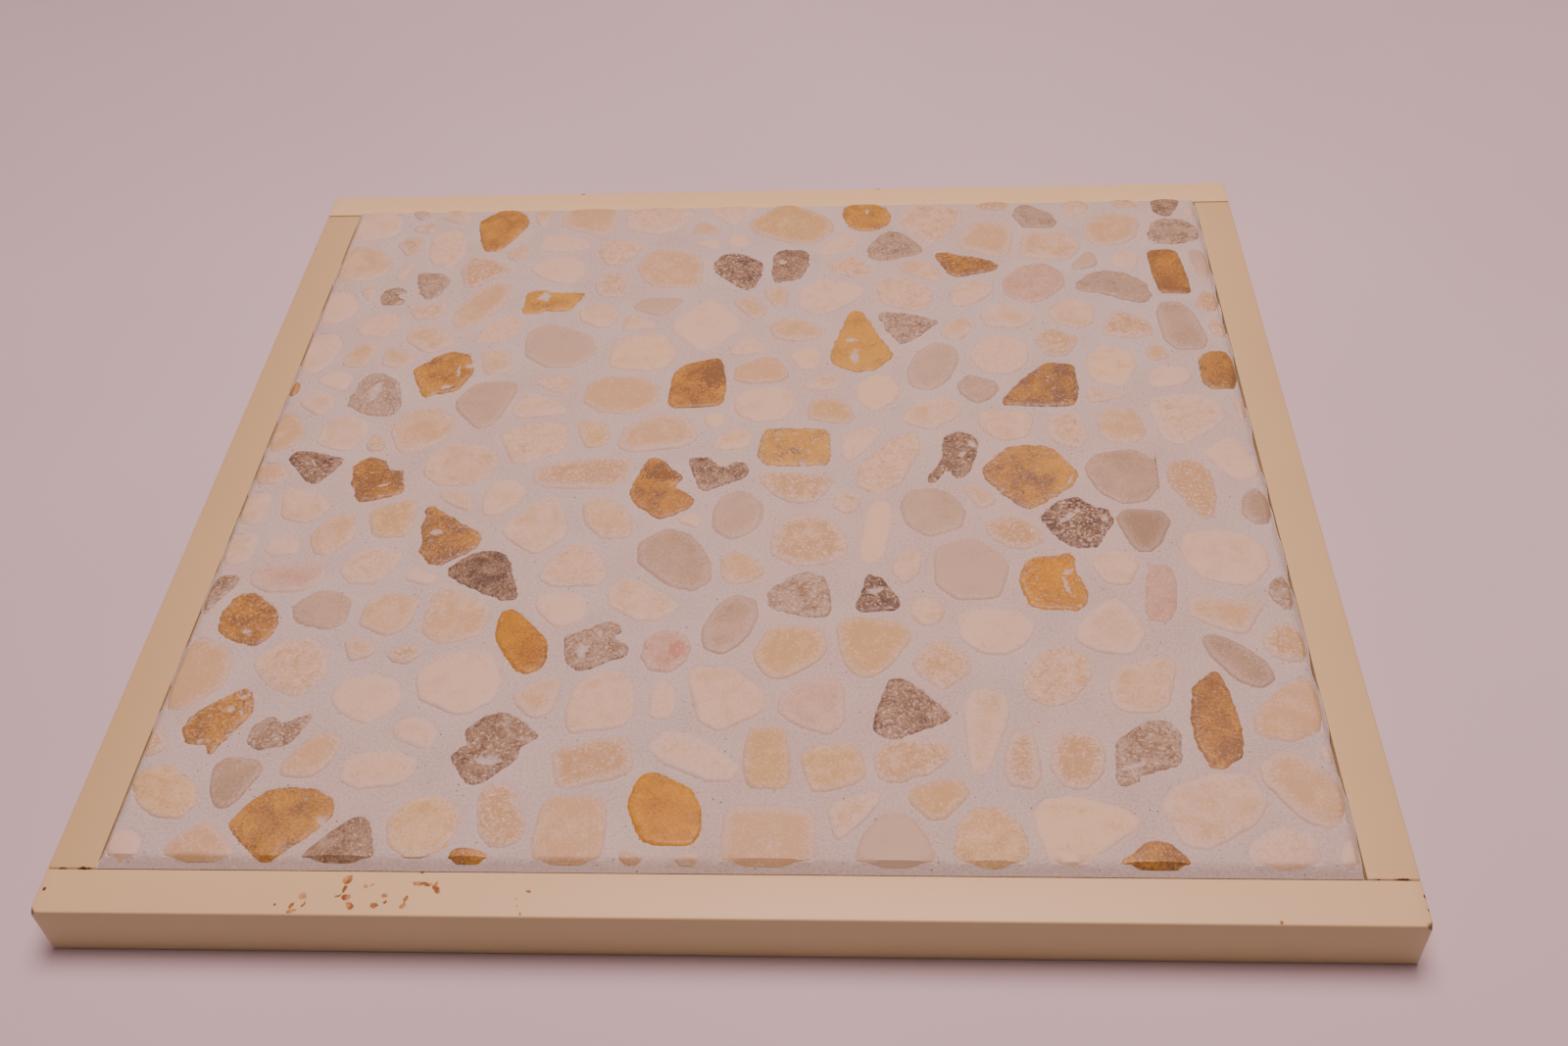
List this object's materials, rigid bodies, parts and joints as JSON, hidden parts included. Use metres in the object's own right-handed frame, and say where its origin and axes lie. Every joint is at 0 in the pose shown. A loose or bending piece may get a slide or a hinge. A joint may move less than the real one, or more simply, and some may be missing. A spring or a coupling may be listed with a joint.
{
  "type": "pebble mosaic tile",
  "caption": "Flat rectangular mosaic of tumbled pale pebbles in pale grout, with scattered ochre and brown stones, in a low frame of square-edged painted wooden rails.",
  "frame": {"origin": "middle of the underside, on which the panel lies", "axes": "+X along the longer side, -Y towards the front rail, +Z out of the mosaic's face"},
  "size_m": [0.33, 0.309, 0.0197],
  "materials": {
    "rail_paint": "satin beige paint",
    "board": "bare pressed board",
    "grout": "matte sanded cement",
    "pale_stone": "honed, matte to silky",
    "ochre_stone": "honed, silky",
    "brown_stone": "honed, silky"
  },
  "bodies": {
    "root": {"front_rail": "rail_paint", "back_rail": "rail_paint", "left_rail": "rail_paint", "right_rail": "rail_paint", "backing_board": "board", "grout_bed_with_pale_stones": "grout", "ochre_stone_01": "ochre_stone", "ochre_stone_02": "ochre_stone", "ochre_stone_03": "ochre_stone", "ochre_stone_04": "ochre_stone", "ochre_stone_05": "ochre_stone", "ochre_stone_06": "ochre_stone", "ochre_stone_07": "ochre_stone", "ochre_stone_08": "ochre_stone", "ochre_stone_09": "ochre_stone", "ochre_stone_10": "ochre_stone", "ochre_stone_11": "ochre_stone", "ochre_stone_12": "ochre_stone", "ochre_stone_13": "ochre_stone", "ochre_stone_14": "ochre_stone", "ochre_stone_15": "ochre_stone", "ochre_stone_16": "ochre_stone", "ochre_stone_17": "ochre_stone", "ochre_stone_18": "ochre_stone", "ochre_stone_19": "ochre_stone", "ochre_stone_20": "ochre_stone", "ochre_stone_21": "ochre_stone", "ochre_stone_22": "ochre_stone", "ochre_stone_23": "ochre_stone", "ochre_stone_24": "ochre_stone", "ochre_stone_25": "ochre_stone", "brown_stone_01": "brown_stone", "brown_stone_02": "brown_stone", "brown_stone_03": "brown_stone", "brown_stone_04": "brown_stone", "brown_stone_05": "brown_stone", "brown_stone_06": "brown_stone", "brown_stone_07": "brown_stone", "brown_stone_08": "brown_stone", "brown_stone_09": "brown_stone", "brown_stone_10": "brown_stone", "brown_stone_11": "brown_stone", "brown_stone_12": "brown_stone", "brown_stone_13": "brown_stone", "brown_stone_14": "brown_stone", "brown_stone_15": "brown_stone", "brown_stone_16": "brown_stone", "brown_stone_17": "brown_stone", "brown_stone_18": "brown_stone", "brown_stone_19": "brown_stone", "brown_stone_20": "brown_stone", "brown_stone_21": "brown_stone", "brown_stone_22": "brown_stone", "brown_stone_23": "brown_stone", "brown_stone_24": "brown_stone", "brown_stone_25": "brown_stone", "brown_stone_26": "brown_stone"}
  },
  "joints": []
}
